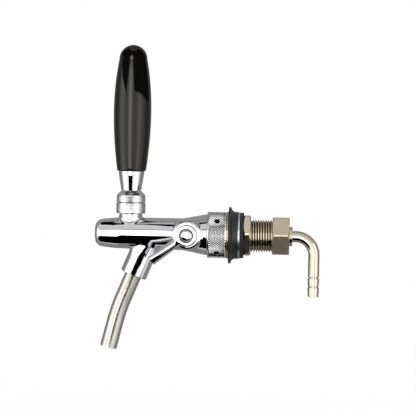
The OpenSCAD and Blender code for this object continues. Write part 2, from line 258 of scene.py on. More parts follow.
def net(field, low, high, step):
    """A quad mesh of the surface where field is zero, relaxed and laid exactly on that surface."""
    axes = [np.arange(a, b + step, step) for a, b in zip(low, high)]
    grid = np.stack(np.meshgrid(*axes, indexing="ij"), -1)
    inside = np.concatenate([field(slab)[None] < 0 for slab in grid])
    nx, ny, nz = (n - 1 for n in inside.shape)
    total = sum(
        inside[i:nx + i, j:ny + j, k:nz + k].astype(np.int8) for i in (0, 1) for j in (0, 1) for k in (0, 1))
    cells = (total > 0) & (total < 8)
    index = np.full(cells.shape, -1)
    index[cells] = np.arange(cells.sum())
    points = grid[:-1, :-1, :-1][cells] + step / 2
    quads = []
    for axis in range(3):
        ins = np.moveaxis(inside, axis, 0)
        idx = np.moveaxis(index, axis, 0)
        cross = ins[:-1, 1:-1, 1:-1] != ins[1:, 1:-1, 1:-1]
        entering = ins[1:, 1:-1, 1:-1][cross]
        a, b = idx[:, :-1, :-1][cross], idx[:, 1:, :-1][cross]
        c, d = idx[:, 1:, 1:][cross], idx[:, :-1, 1:][cross]
        quad = np.stack([a, b, c, d], -1)
        flip = entering if axis != 1 else ~entering
        quad[flip] = quad[flip][:, ::-1]
        quads.append(quad)
    quads = np.concatenate(quads)
    points = settle(field, points)
    for _ in range(4):
        centres = points[quads].mean(1)
        total, count = np.zeros_like(points), np.zeros(len(points))
        for corner in range(4):
            np.add.at(total, quads[:, corner], centres)
            np.add.at(count, quads[:, corner], 1)
        points = settle(field, total / count[:, None], 2)
    slope = gradient(field, points)
    normals = slope / np.linalg.norm(slope, axis=1)[:, None]
    return points, quads, normals


def modelled(name, field, low, high, step, material):
    points, quads, normals = net(field, low, high, step)
    return make_object(name, points, quads.tolist(), material, normals=normals)


# ---------------------------------------------------------------- materials

def new_material(name):
    material = bpy.data.materials.new(name)
    material.use_nodes = True
    nodes, links = material.node_tree.nodes, material.node_tree.links
    return material, nodes, links, nodes["Principled BSDF"]


def value_range(nodes, links, source, low, high):
    """Maps a 0 to 1 output onto low to high."""
    node = nodes.new("ShaderNodeMapRange")
    node.inputs["To Min"].default_value = low
    node.inputs["To Max"].default_value = high
    links.new(source, node.inputs["Value"])
    return node.outputs["Result"]


def noise(nodes, links, scale, stretch=(1, 1, 1), detail=3):
    """Noise on the object's own coordinates, scale in features a metre."""
    place = nodes.new("ShaderNodeTexCoord")
    mapping = nodes.new("ShaderNodeMapping")
    mapping.inputs["Scale"].default_value = stretch
    texture = nodes.new("ShaderNodeTexNoise")
    texture.inputs["Scale"].default_value = scale
    texture.inputs["Detail"].default_value = detail
    links.new(place.outputs["Object"], mapping.inputs["Vector"])
    links.new(mapping.outputs["Vector"], texture.inputs["Vector"])
    return texture.outputs["Fac"]


def colour_blend(nodes, links, factor, first, second):
    mix = nodes.new("ShaderNodeMix")
    mix.data_type = "RGBA"
    mix.inputs["A"].default_value = (*first, 1)
    mix.inputs["B"].default_value = (*second, 1)
    links.new(factor, mix.inputs["Factor"])
    return mix.outputs["Result"]


def add_bump(nodes, links, shader, height, distance_mm, strength=1.0):
    bump = nodes.new("ShaderNodeBump")
    bump.inputs["Distance"].default_value = distance_mm * MM
    bump.inputs["Strength"].default_value = strength
    links.new(height, bump.inputs["Height"])
    links.new(bump.outputs["Normal"], shader.inputs["Normal"])


def off_axis(nodes, links, root_mm, crest_mm):
    """0 at the root of the grooves round the X axis and 1 at their crests."""
    place = nodes.new("ShaderNodeTexCoord")
    flat = nodes.new("ShaderNodeVectorMath")
    flat.operation = "MULTIPLY"
    flat.inputs[1].default_value = (0, 1, 1)
    distance = nodes.new("ShaderNodeVectorMath")
    distance.operation = "LENGTH"
    rise = nodes.new("ShaderNodeMapRange")
    rise.inputs["From Min"].default_value = root_mm * MM
    rise.inputs["From Max"].default_value = crest_mm * MM
    links.new(place.outputs["Object"], flat.inputs[0])
    links.new(flat.outputs["Vector"], distance.inputs[0])
    links.new(distance.outputs["Value"], rise.inputs["Value"])
    return rise.outputs["Result"]


def metal(name, light, dark, rough, grain,
          stretch=(1, 1, 1), bump_mm=0.0, grooves=None, painted_groove_shade=(0, 0, 0)):
    """A metal whose colour and polish vary a little over its surface.

    grooves is the (root, crest) radius of the grooves round the X axis, whose roots are darkened with a
    painted shade colour, or None.
    """
    material, nodes, links, shader = new_material(name)
    shader.inputs["Metallic"].default_value = 1
    pattern = noise(nodes, links, grain, stretch)
    colour = colour_blend(nodes, links, pattern, light, dark)
    # Painted shade: the colour turns dark towards the groove roots, where shade falls.
    if grooves:
        mix = nodes.new("ShaderNodeMix")
        mix.data_type = "RGBA"
        mix.inputs["A"].default_value = (*painted_groove_shade, 1)
        links.new(off_axis(nodes, links, *grooves), mix.inputs["Factor"])
        links.new(colour, mix.inputs["B"])
        colour = mix.outputs["Result"]
    links.new(colour, shader.inputs["Base Color"])
    links.new(value_range(nodes, links, pattern, *rough), shader.inputs["Roughness"])
    if bump_mm:
        add_bump(nodes, links, shader, pattern, bump_mm)
    return material


def plastic(name, light, dark, rough, grain, bump_mm=0.0, specular=0.5):
    material, nodes, links, shader = new_material(name)
    shader.inputs["Specular IOR Level"].default_value = specular
    pattern = noise(nodes, links, grain)
    links.new(colour_blend(nodes, links, pattern, light, dark), shader.inputs["Base Color"])
    links.new(value_range(nodes, links, pattern, *rough), shader.inputs["Roughness"])
    if bump_mm:
        add_bump(nodes, links, shader, pattern, bump_mm)
    return material


chrome = metal("mirror_chrome", (0.86, 0.86, 0.87), (0.82, 0.82, 0.83), (0.02, 0.05), 60)
satin_chrome = metal("satin_chrome", (0.84, 0.84, 0.84), (0.76, 0.76, 0.76), (0.16, 0.26), 900)
# The knurl's groove roots are darkened with painted shade.
knurl_chrome = metal("knurl_chrome", (0.84, 0.84, 0.84), (0.78, 0.78, 0.78), (0.12, 0.16), 900,
                     grooves=(NUT_R - 0.6, NUT_R - 0.36), painted_groove_shade=(0.05, 0.05, 0.05))
steel = metal("brushed_steel", (0.72, 0.69, 0.64), (0.60, 0.57, 0.52), (0.22, 0.34), 500,
              stretch=(1, 1, 0.08), bump_mm=0.02)
# The thread's roots are darkened with painted shade.
thread_nickel = metal("thread_nickel", (0.84, 0.77, 0.60), (0.76, 0.69, 0.52), (0.12, 0.18), 300,
                      grooves=(THREAD_R - 1.15, THREAD_R - 0.5), painted_groove_shade=(0.12, 0.10, 0.06))
nut_nickel = metal("nut_nickel", (0.86, 0.78, 0.61), (0.76, 0.68, 0.50), (0.26, 0.36), 700, bump_mm=0.02)
blasted_nickel = metal("blasted_nickel", (0.80, 0.70, 0.54), (0.68, 0.59, 0.44), (0.42, 0.52), 1100,
                       bump_mm=0.04)
polished_nickel = metal("polished_nickel", (0.76, 0.70, 0.56), (0.68, 0.62, 0.48), (0.08, 0.13), 120)
brass = metal("turned_brass", (0.86, 0.66, 0.34), (0.74, 0.55, 0.26), (0.15, 0.28), 400)
zinc = metal("zinc_plate", (0.80, 0.81, 0.83), (0.70, 0.71, 0.73), (0.25, 0.38), 500)
grip_black = plastic("grip_black", (0.003, 0.003, 0.003), (0.005, 0.005, 0.0045), (0.05, 0.10), 40)
grip_shader = grip_black.node_tree.nodes["Principled BSDF"]
grip_shader.inputs["Specular Tint"].default_value = (1.0, 0.94, 0.84, 1)
flange_black = plastic("flange_black", (0.010, 0.010, 0.011), (0.022, 0.022, 0.023), (0.30, 0.42), 900,
                       bump_mm=0.01)
rubber = plastic("rubber", (0.012, 0.012, 0.012), (0.024, 0.024, 0.024), (0.55, 0.7), 1200,
                 bump_mm=0.03, specular=0.3)
acetal = plastic("acetal", (0.80, 0.79, 0.74), (0.74, 0.72, 0.66), (0.35, 0.5), 300)
fibre = plastic("gasket_fibre", (0.20, 0.17, 0.14), (0.28, 0.25, 0.22), (0.7, 0.85), 1500,
                bump_mm=0.05, specular=0.2)


# ---------------------------------------------------------------- tap body

body_low = box_mm("tap_body")[0]
BODY_REAR_X = -21.6
BARREL_R = 11.25
NECK_R, NECK_TOP_Z = 8.25, 14.0
SIDE_BOSS_R, SIDE_BOSS_FACE_Y = 10.7, -15.0
BOSS_ROOT_R, BOSS_SPREAD = 9.2, 0.0126
BOSS_START = np.array([HANDLE_X + 14.8, 0.0, 0.0])
BOSS_TILT = math.radians(22.5)
BOSS_AXIS = np.array([-math.sin(BOSS_TILT), 0.0, -math.cos(BOSS_TILT)])
BOSS_LENGTH = 31.8
SPOUT_R, SOCKET_GAP, SOCKET_DEPTH = 6.0, 0.15, 4


def barrel_radius(x):
    """The barrel's radius: nearly plain, narrower at its front and flared at its rear."""
    front_taper = 0.013 * ramp(-65 - x, 4) + 0.115 * ramp(-88 - x, 3)
    rear_flare = 0.2 * ramp(x + 39.2, 1.6)
    return BARREL_R - front_taper + rear_flare


def body_field(p):
    """Below zero inside the body: barrel, neck, spout boss and side boss, less the spout's socket."""
    x, y, z = p[..., 0], p[..., 1], p[..., 2]
    barrel = np.hypot(y, z) - barrel_radius(x)
    barrel = round_max(barrel, body_low[0] + 0.05 - x, 4.6)
    barrel = round_max(barrel, x - BODY_REAR_X, 0.35)
    neck = round_max(np.hypot(x - HANDLE_X, y) - NECK_R, z - NECK_TOP_Z, 0.3)
    neck = np.maximum(neck, -z)
    offset = p - BOSS_START
    t = offset @ BOSS_AXIS
    away = np.sqrt(np.maximum((offset ** 2).sum(-1) - t * t, 0))
    boss = round_max(away - (BOSS_ROOT_R + BOSS_SPREAD * t), t - BOSS_LENGTH, 0.45)
    boss = np.maximum(boss, -t)
    side = round_max(np.hypot(x - FLOW_X, z) - SIDE_BOSS_R, SIDE_BOSS_FACE_Y - y, 2.8)
    side = np.maximum(side, y)
    solid = blend_min(barrel, neck, 1.6)
    solid = blend_min(solid, boss, 1.4)
    solid = blend_min(solid, side, 1.2)
    socket = np.maximum(away - SPOUT_R - SOCKET_GAP, BOSS_LENGTH - SOCKET_DEPTH - t)
    return round_max(solid, -socket, 0.25)


body = modelled("tap_body_shell", body_field, body_low - 1, (BODY_REAR_X + 1, 13, 15.5), 0.42, chrome)
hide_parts("tap_body")
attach(body, "tap")

# The male thread that the coupling nut runs on, hidden inside the nut.
spigot_outline = [(11, -24), (14.1, -21.7), (14.1, -13.5), (11, -13.5)]
spigot = turned("tap_spigot", rounded(spigot_outline), chrome)
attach(spigot, "tap")


# ---------------------------------------------------------------- spout tube

def bent_path(start, direction, bends):
    """A path in the XZ plane made of (straight length, bend radius, bend angle) stretches, and its length."""
    stretches = []
    position, heading, done = np.asarray(start, float), unit(direction), 0.0
    for length, radius, angle in bends:
        stretches.append((done, position, heading, 0.0, 0.0))
        position, done = position + heading * length, done + length
        if radius:
            stretches.append((done, position, heading, radius, angle))
            side = np.array([heading[2], 0.0, -heading[0]]) * math.copysign(1, angle)
            centre = position + side * radius
            position = centre - side * radius * math.cos(angle) + heading * radius * abs(math.sin(angle))
            heading = heading * math.cos(angle) + side * abs(math.sin(angle))
            done += abs(radius * angle)

    def path(s):
        reached = [stretch for stretch in stretches if stretch[0] <= max(s, 0) + 1e-9]
        began, origin, way, radius, angle = reached[-1]
        if radius:
            turn = (s - began) / radius
            side = np.array([way[2], 0.0, -way[0]]) * math.copysign(1, angle)
            centre = origin + side * radius
            point = centre - side * radius * math.cos(turn) + way * radius * math.sin(turn)
            tangent = way * math.cos(turn) + side * math.sin(turn)
        else:
            point, tangent = origin + way * (s - began), way
        return point, np.array([0.0, -1.0, 0.0]), np.cross(tangent, np.array([0.0, -1.0, 0.0]))

    return path, done


SPOUT_STRAIGHT, SPOUT_BEND_R, SPOUT_TURN, SPOUT_END = 18.0, 120.0, math.radians(8.5), 19.0
SPOUT_HIDDEN = 3.5
spout_path, spout_length = bent_path(
    BOSS_START + BOSS_AXIS * (BOSS_LENGTH - SPOUT_HIDDEN), BOSS_AXIS,
    [(SPOUT_HIDDEN + SPOUT_STRAIGHT, SPOUT_BEND_R, -SPOUT_TURN), (SPOUT_END, 0, 0)])


def tube_rows(length, outer, inner, step, edge=0.2):
    """Rings of a hollow tube with softly rounded ends."""
    stations = spread(edge, length - edge, max(3, int(length / step)))
    rows = [(inner, s) for s in reversed(stations)]
    rows += rounded([(inner, edge), (inner, 0), (outer, 0), (outer, edge)], edge, closed=False)[1:-1]
    rows += [(outer, s) for s in stations]
    rows += rounded([(outer, length - edge), (outer, length), (inner, length), (inner, length - edge)],
                    edge, closed=False)[1:-1]
    return rows


spout = turned("spout_pipe", tube_rows(spout_length, SPOUT_R, 5.2, 1.0), steel, spout_path, 96)
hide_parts("spout_tube")
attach(spout, "tap")


# ---------------------------------------------------------------- knurled rings on the neck

def knurl(count, pitch, depth, start, end, sharpness=1.0):
    """Relief of a diamond knurl: count teeth round, pitch mm along, between two stations.

    At sharpness 1 the diamonds are pyramids, and above it their tops are flat.
    """
    def relief(angles, station, radii):
        fade = min(1, max(0, (station - start) / 0.4), max(0, (end - station) / 0.4))
        if fade <= 0:
            return radii
        around = angles * count / (2 * math.pi)
        along = station / pitch
        left = np.abs(((around + along) % 1) * 2 - 1)
        right = np.abs(((around - along) % 1) * 2 - 1)
        groove = np.minimum(np.minimum(left, right) * sharpness, 1)
        return radii - depth * fade * (1 - groove)
    return relief


bonnet_low, bonnet_high = box_mm("bonnet_nut")
BONNET_R, RING_R = 10.35, 10.2
SPLIT_Z = 22.0
FINE_KNURL = (60, 1.1, 0.14)

bonnet_rows = rounded([
    (7.8, bonnet_low[2], 0.2), (BONNET_R, bonnet_low[2], 0.5),
    (BONNET_R, bonnet_low[2] + 0.9, 0)], closed=False)
bonnet_rows += [(BONNET_R, s) for s in spread(bonnet_low[2] + 1, SPLIT_Z - 1.2, 30)]
bonnet_rows += rounded([
    (BONNET_R, SPLIT_Z - 1.1, 0), (BONNET_R, SPLIT_Z - 0.25, 0.45), (8.5, SPLIT_Z - 0.25, 0.2),
    (8.5, bonnet_high[2], 0.2), (5.9, bonnet_high[2], 0.2), (5.5, 24.9, 0.1), (6.4, 24.9, 0),
    (6.4, 21.8, 0), (7.8, 21.8, 0)], closed=False)
bonnet = turned("bonnet_ring", bonnet_rows, satin_chrome, along_handle, 360,
                relief=knurl(*FINE_KNURL, bonnet_low[2] + 0.8, SPLIT_Z - 1.0, 2))
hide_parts("bonnet_nut")
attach(bonnet, "tap")

DOME_R = 11.9
dome_low = math.acos(RING_R / DOME_R)
dome_high = math.acos(6.9 / DOME_R)
dome = [(DOME_R * math.cos(a), PIVOT[2] + DOME_R * math.sin(a)) for a in spread(dome_low, dome_high, 12)]
lock_rows = rounded([
    (8.6, SPLIT_Z + 0.1, 0.2), (RING_R, SPLIT_Z + 0.1, 0.4), (RING_R, SPLIT_Z + 0.8, 0)], closed=False)
lock_rows += [(RING_R, s) for s in spread(SPLIT_Z + 0.9, dome[0][1] - 0.5, 18)]
lock_rows += dome[1:]
lock_rows += [(6.0, 26.3), (8.6, 26.3)]
lock = turned("lock_collar", lock_rows, satin_chrome, along_handle, 360,
              relief=knurl(*FINE_KNURL, SPLIT_Z + 0.7, dome[0][1] - 0.4, 2))
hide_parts("lock_ring")
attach(lock, "tap")


# ---------------------------------------------------------------- handle

ferrule_high = box_mm("ferrule")[1]
# The cone's hollow foot slides over the ring's dome.
DISH_R = 12.15
dish = [(DISH_R * math.cos(a), PIVOT[2] + DISH_R * math.sin(a))
        for a in spread(math.acos(4.1 / DISH_R), math.acos(7.0 / DISH_R), 8)]
ferrule_rows = dish + rounded([
    (7.1, dish[-1][1], 0.15), (9.3, ferrule_high[2], 0.35), (4.1, ferrule_high[2], 0.1)], closed=False)
ferrule = turned("ferrule_cone", ferrule_rows, chrome, along_handle, 160)
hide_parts("ferrule")
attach(ferrule, "handle")

grip_low, grip_high = box_mm("grip")


def grip_radius(z):
    """The grip's side: two gentle swells that meet at the belly."""
    belly_z, belly_r = 85.5, 13.3
    if z < belly_z:
        return belly_r - (belly_r - 10.2) * ((belly_z - z) / (belly_z - grip_low[2])) ** 1.9
    return belly_r - 3.4 * ((z - belly_z) / 38.0) ** 2.15


SHOULDER_Z = 123.5
shoulder_r = grip_radius(SHOULDER_Z)
dome_height = grip_high[2] - SHOULDER_Z
side_rows = [(grip_radius(z), z) for z in spread(grip_low[2] + 0.7, SHOULDER_Z, 60)]
crown_rows = [(shoulder_r * math.cos(a), SHOULDER_Z + dome_height * math.sin(a))
              for a in spread(0.06, math.pi / 2 - 0.01, 24)]
grip_rows = rounded([(0.05, grip_low[2], 0), (10.1, grip_low[2], 0.5), side_rows[0]], closed=False)[:-1]
grip_rows += side_rows + crown_rows
grip = turned("grip_shell", grip_rows, grip_black, along_handle, 160, closed=False, sharp_deg=50)
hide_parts("grip")
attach(grip, "handle")


# ---------------------------------------------------------------- flow lever

flow_low, flow_high = box_mm("flow_lever")
HUB_FACE_Y, HUB_BACK_Y = flow_low[1], -15.3
ARM_Y = -18.9
ARM_DROP = math.radians(36)
ARM_AXIS = np.array([-math.cos(ARM_DROP), 0.0, -math.sin(ARM_DROP)])
ARM_LENGTH, ARM_R, ARM_SPREAD = 30.3, 2.7, 0.033
HUB_R, RECESS_R, RECESS_DEPTH = 7.8, 4.9, 1.8


def flow_field(p):
    """Below zero inside the side lever: hub and arm, less the recess for the cap."""
    x, y, z = p[..., 0], p[..., 1], p[..., 2]
    away = np.hypot(x - FLOW_X, z)
    hub = round_max(away - HUB_R, HUB_FACE_Y - y, 1.7)
    hub = round_max(hub, y - HUB_BACK_Y, 0.4)
    offset = p - np.array([FLOW_X, ARM_Y, 0.0])
    t = offset @ ARM_AXIS
    off_arm = np.sqrt(np.maximum((offset ** 2).sum(-1) - t * t, 0))
    arm = round_max(off_arm - (ARM_R + ARM_SPREAD * t), t - ARM_LENGTH, 0.35)
    arm = np.maximum(arm, -t)
    solid = blend_min(hub, arm, 2.2)
    solid = round_max(solid, flow_low[1] + 0.05 - y, 0.3)
    recess = round_max(away - RECESS_R, y - HUB_FACE_Y - RECESS_DEPTH, 0.3)
    recess = np.maximum(recess, HUB_FACE_Y - 3 - y)
    return round_max(solid, -recess, 0.5)


flow = modelled("flow_handle", flow_field, flow_low - 0.6, flow_high + 0.6, 0.28, chrome)
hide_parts("flow_lever")
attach(flow, "flow_control")

cap_low, cap_high = box_mm("lever_cap")
CAP_R, CAP_CROWN = 4.35, 1.4
cap_rows = [(0.03, -cap_low[1])] + [
    (CAP_R * math.sin(a), -cap_low[1] - CAP_CROWN * (1 - math.cos(a))) for a in spread(0.08, math.pi / 2, 14)]
cap_rows += [(CAP_R, -cap_high[1]), (0.03, -cap_high[1])]
cap = turned("flow_cap", cap_rows, chrome, along_flow, 96, closed=False)
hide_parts("lever_cap")
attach(cap, "flow_control")

# A dark rubber ring in the groove round the cap: painted shade for the dark line in that gap.
groove_inner, groove_outer = CAP_R - 0.1, RECESS_R + 0.05
groove_floor = -HUB_FACE_Y - 1.75
groove_top = groove_floor + 0.7
groove = turned("cap_gap_painted_shade", rounded([
    (groove_inner, groove_floor), (groove_outer, groove_floor), (groove_outer, groove_top),
    (groove_inner, groove_top)], 0.1), rubber, along_flow, 96)
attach(groove, "flow_control")


# ---------------------------------------------------------------- coupling nut

nut_low, nut_high = box_mm("coupling_nut")
HOLE_X = joint_mm("coupling_nut_turn")[0]
nut_start, nut_end = nut_low[0] + 1.0, nut_high[0] - 1.0
nut_rows = rounded([
    (14.3, nut_low[0], 0.2), (NUT_R, nut_low[0], 0.9), (NUT_R, nut_start + 0.1, 0)], closed=False)
nut_rows += [(NUT_R, s) for s in spread(nut_start + 0.2, nut_end - 0.2, 74)]
nut_rows += rounded([
    (NUT_R, nut_end - 0.1, 0), (NUT_R, nut_high[0], 0.9), (11.8, nut_high[0], 0.2), (11.8, -10.1, 0),
    (14.3, -10.1, 0)], closed=False)
coupling = turned("coupling_ring", nut_rows, knurl_chrome, along_x, 640,
                  relief=knurl(62, 2.0, 0.62, nut_start, nut_end, 1.05), sharp_deg=25)

# Four holes for a pin spanner.
cutters = []
for quarter in range(4):
    angle = math.radians(40 + 90 * quarter)
    outward = np.array([0.0, -math.cos(angle), math.sin(angle)])
    cutter = turned(f"cutter_{quarter}", [(2.0, 14.9), (2.0, 18)], satin_chrome,
                    straight((HOLE_X, 0, 0), outward), 40, closed=False)
    cutters.append(cutter)
for cutter in cutters:
    drill = coupling.modifiers.new("drill", "BOOLEAN")
    drill.object = cutter
    drill.solver = "EXACT"
bpy.context.view_layer.objects.active = coupling
for drill in list(coupling.modifiers):
    with bpy.context.temp_override(object=coupling):
        bpy.ops.object.modifier_apply(modifier=drill.name)
for cutter in cutters:
    bpy.data.objects.remove(cutter)
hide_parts("coupling_nut")
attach(coupling, "coupling")


# ---------------------------------------------------------------- flange and washers

def ring_piece(name, node, outline, material, body_name, segments=144):
    piece = turned(name, rounded(outline, 0.2), material, along_x, segments)
    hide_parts(node)
    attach(piece, body_name)


brass_low, brass_high = box_mm("retaining_ring")
ring_piece("brass_ring", "retaining_ring", [
    (THREAD_R + 0.1, brass_low[0]), (16.8, brass_low[0]), (16.8, brass_high[0]),
    (THREAD_R + 0.1, brass_high[0])], brass, "tap")

flange_low, flange_high = box_mm("flange")
FLANGE_R, DRUM_R = flange_high[2], 16.65
hollow = [(DRUM_R + 3.3 * (1 - math.sin(a)), -1.8 - 3.3 * math.cos(a), 0)
          for a in spread(math.radians(8), math.pi / 2, 14)]
ring_piece("flange_plate", "flange", [
    (THREAD_R + 0.15, flange_high[0]), (THREAD_R + 0.15, flange_low[0]), (14.5, flange_low[0], 0.2),
    (15.2, flange_low[0] + 0.35, 0.2), (FLANGE_R, flange_low[0], 0.35), (FLANGE_R, -5.35, 0.3)]
    + hollow + [(DRUM_R, flange_high[0], 0.2)], flange_black, "tap", 192)

steel_low, steel_high = box_mm("ring_washer")
ring_piece("steel_ring", "ring_washer", [
    (11.6, steel_low[0]), (16.5, steel_low[0]), (16.5, steel_high[0]), (11.6, steel_high[0])],
    zinc, "clamp_washers")

rubber_low, rubber_high = box_mm("seal_washer")
ring_piece("rubber_ring", "seal_washer", [
    (11.6, rubber_low[0]), (16.1, rubber_low[0], 0.35), (16.1, rubber_high[0], 0.35),
    (11.6, rubber_high[0])], rubber, "clamp_washers")


# ---------------------------------------------------------------- threads and hexagons

def thread_relief(pitch, depth, start, end):
    """Relief of a right-handed Whitworth thread with rounded crests."""
    def relief(angles, station, radii):
        fade = min(1, max(0, (station - start) / 1.2), max(0, (end - station) / 1.2))
        phase = (station / pitch + angles / (2 * math.pi)) % 1
        wave = 0.5 - 0.5 * np.cos(2 * math.pi * phase)
        return radii - depth * fade * np.clip(wave * 1.25 - 0.12, 0, 1)
    return relief


PITCH = 1.814
shank_low, shank_high = box_mm("shank")
thread_rows = [(5.5, shank_high[0]), (5.5, shank_low[0])]
thread_rows += rounded([
    (5.5, shank_low[0], 0), (13.7, shank_low[0], 0.3), (13.7, -10.3, 0.3), (THREAD_R, -10.3, 0)],
    closed=False)[1:]
thread_rows += [(THREAD_R, s) for s in spread(-9.8, shank_high[0] - 0.6, 260)]
thread_rows += [(10.4, shank_high[0])]
thread = thread_relief(PITCH, 1.25, 0.0, shank_high[0])


def shank_relief(angles, station, radii):
    """The thread, on the shank's outside only."""
    return thread(angles, station, radii) if radii[0] == THREAD_R else radii


shank = turned("threaded_shank", thread_rows, thread_nickel, along_x, 120, relief=shank_relief, sharp_deg=60)
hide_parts("shank")
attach(shank, "tap")


def hex_nut(name, node, across_flats, turn_deg, bore, lip, material, body_name):
    """A hexagon nut with chamfered corners. lip is a rear floor's (radius, thickness), or None."""
    low, high = box_mm(node)
    start, end = low[0], high[0]
    flat_r = across_flats / 2
    corner_r = flat_r / math.cos(math.pi / 6) - 0.25
    segments = 6 * 28
    angles = np.linspace(0, 2 * math.pi, segments, endpoint=False)
    corner_angle = math.radians(turn_deg)
    folded = (angles - corner_angle + math.pi / 6) % (math.pi / 3) - math.pi / 6
    hexagon = np.minimum(flat_r / np.cos(math.pi / 6 - np.abs(folded)), corner_r)
    chamfer_r = flat_r - 0.35
    slope = math.tan(math.radians(28))
    rings = []

    def add(radius, station):
        rings.append((np.full(segments, float(radius)), np.full(segments, float(station))))

    def add_chamfer(station, sign, limits):
        for limit in limits:
            radius = np.minimum(limit, hexagon)
            rings.append((radius, station + sign * slope * np.maximum(radius - chamfer_r, 0)))

    floor_r, floor_x = (lip[0], end - lip[1]) if lip else (bore, end)
    if lip:
        add(bore, floor_x)
    add(bore, start + 0.7)
    add(bore + 0.7, start)
    add(chamfer_r, start)
    add_chamfer(start, 1, spread(chamfer_r + 0.1, corner_r, 10))
    add_chamfer(end, -1, reversed(spread(chamfer_r + 0.1, corner_r, 10)))
    add(chamfer_r, end)
    add(floor_r + 0.4, end)
    add(floor_r, end - 0.4)
    if lip:
        add(floor_r, floor_x)
    verts, faces = [], []
    for radii, stations in rings:
        verts.append(np.stack([stations, -radii * np.cos(angles), radii * np.sin(angles)], -1))
    count = len(rings)
    for i in range(count):
        j = (i + 1) % count
        for k in range(segments):
            n = (k + 1) % segments
            faces.append((i * segments + k, i * segments + n, j * segments + n, j * segments + k))
    piece = make_object(name, np.concatenate(verts), faces, material)
    clean(piece, 20)
    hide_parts(node)
    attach(piece, body_name)


hex_nut("clamp_hexagon", "lock_nut", 27.5, 7, THREAD_R + 0.1, None,
        nut_nickel, "clamp_nut")
hex_nut("union_hexagon", "union_nut", 26.0, 4.5, THREAD_R + 0.1, (6.95, 2.0),
        blasted_nickel, "union")


# ---------------------------------------------------------------- tail elbow

tail_low = box_mm("tail_elbow")[0]
TAIL_R, ELBOW_R, STUB_R, STUB_END = 4.0, 13.0, 6.85, 38.3
ELBOW_START = 40.8
leg_length = -ELBOW_R - tail_low[2]
tail_path, tail_length = bent_path((tail_low[0], 0, 0), (1, 0, 0), [
    (ELBOW_START - tail_low[0], ELBOW_R, math.pi / 2), (leg_length, 0, 0)])
FLANGE_T, BARB_LENGTH, BARB_R, BARB_NECK_R = 1.1, 6.4, 4.15, 3.45
stub = STUB_END - tail_low[0]
bend_stations = spread(stub + 0.3, tail_length - 2 * BARB_LENGTH - 1.4, 70)
tail_rows = [(2.75, s) for s in reversed(spread(0.2, tail_length - 0.3, 60))]
tail_rows += rounded([
    (2.75, 0, 0), (10.8, 0, 0.2), (10.8, FLANGE_T, 0.2), (STUB_R, FLANGE_T, 0.2), (STUB_R, stub, 0.5),
    (TAIL_R, stub, 0.3), (TAIL_R, stub + 0.4, 0)], closed=False)
tail_rows += [(TAIL_R, s) for s in bend_stations[1:]]
for barb in (2, 1):
    edge = tail_length - barb * BARB_LENGTH
    tail_rows += [(TAIL_R - 0.1, edge - 1.3), (BARB_NECK_R, edge - 0.8), (BARB_NECK_R, edge - 0.35)]
    tail_rows += [(BARB_R, edge), (BARB_R, edge + 0.5), (TAIL_R - 0.1, edge + BARB_LENGTH - 1.8)]
tail_rows += rounded([
    (TAIL_R - 0.15, tail_length - 0.6, 0), (TAIL_R - 0.2, tail_length, 0.2), (2.75, tail_length, 0.2),
    (2.75, tail_length - 0.3, 0)], closed=False)[1:-1]
tail = turned("tail_pipe", tail_rows, polished_nickel, tail_path, 96, sharp_deg=28)
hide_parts("tail_elbow")
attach(tail, "tail")


# ---------------------------------------------------------------- inner pieces keep their CAD shape

INNER = {
    "ball_seat_lower": acetal, "ball_seat_upper": acetal, "compensator_cone": acetal,
    "ball_seal": rubber, "valve_seal": rubber, "spindle_seal": rubber,
    "lever_stem": steel, "piston": steel, "piston_nut": steel, "spindle": steel,
    "grip_insert": brass, "spindle_bush": brass, "inlet_gasket": fibre, "tail_gasket": fibre,
}
for node, material in INNER.items():
    inner = frame["nodes"][node]
    for place in inner.material_slots:
        place.material = material


# ---------------------------------------------------------------- floor, light and camera

low, high = (np.array(corner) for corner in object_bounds())
FLOOR_DROP = 0.10
FLOOR_SIZE = 6.0


def flat_sheet(name, corners, material):
    mesh = bpy.data.meshes.new(name)
    mesh.from_pydata([tuple(c) for c in corners], [], [tuple(range(len(corners)))])
    mesh.materials.append(material)
    sheet = bpy.data.objects.new(name, mesh)
    bpy.context.collection.objects.link(sheet)
    sheet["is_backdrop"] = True
    return sheet


floor_z = low[2] - FLOOR_DROP
half = FLOOR_SIZE / 2
floor_paint, _, _, floor_shader = new_material("floor_paint")
floor_shader.inputs["Base Color"].default_value = (1, 1, 1, 1)
floor_shader.inputs["Roughness"].default_value = 0.9
floor_shader.inputs["Specular IOR Level"].default_value = 0.0
floor_corners = [(x * half, y * half, floor_z) for x, y in ((-1, -1), (1, -1), (1, 1), (-1, 1))]
floor = flat_sheet("floor", floor_corners, floor_paint)
floor.visible_glossy = False

# The studio as reflections see it: bright round the front, grey above and behind, dark low in front.
scene = bpy.context.scene
world = bpy.data.worlds.new("studio")
scene.world = world
world.use_nodes = True
wn, wl = world.node_tree.nodes, world.node_tree.links
background = wn["Background"]


def world_math(operation, *values):
    node = wn.new("ShaderNodeMath")
    node.operation = operation
    for socket, value in zip(node.inputs, values):
        if isinstance(value, (int, float)):
            socket.default_value = value
        else:
            wl.new(value, socket)
    return node.outputs[0]


def world_step(value, start, end, low=0.0, high=1.0):
    """A smooth change from low to high as value goes from start to end."""
    node = wn.new("ShaderNodeMapRange")
    node.interpolation_type = "SMOOTHSTEP"
    node.inputs["From Min"].default_value = start
    node.inputs["From Max"].default_value = end
    node.inputs["To Min"].default_value = low
    node.inputs["To Max"].default_value = high
    wl.new(value, node.inputs["Value"])
    return node.outputs["Result"]


def world_peak(value, middle, width, height):
    """A soft bump of the given height."""
    rise = world_step(value, middle - width, middle, 0, height)
    fall = world_step(value, middle, middle + width, 1, 0)
    return world_math("MULTIPLY", rise, fall)


way = wn.new("ShaderNodeTexCoord")
split = wn.new("ShaderNodeSeparateXYZ")
wl.new(way.outputs["Generated"], split.inputs[0])
side, height = split.outputs["X"], split.outputs["Z"]
ahead = world_math("MULTIPLY", split.outputs["Y"], -1)
azimuth = world_math("DEGREES", world_math("ARCTAN2", side, ahead))

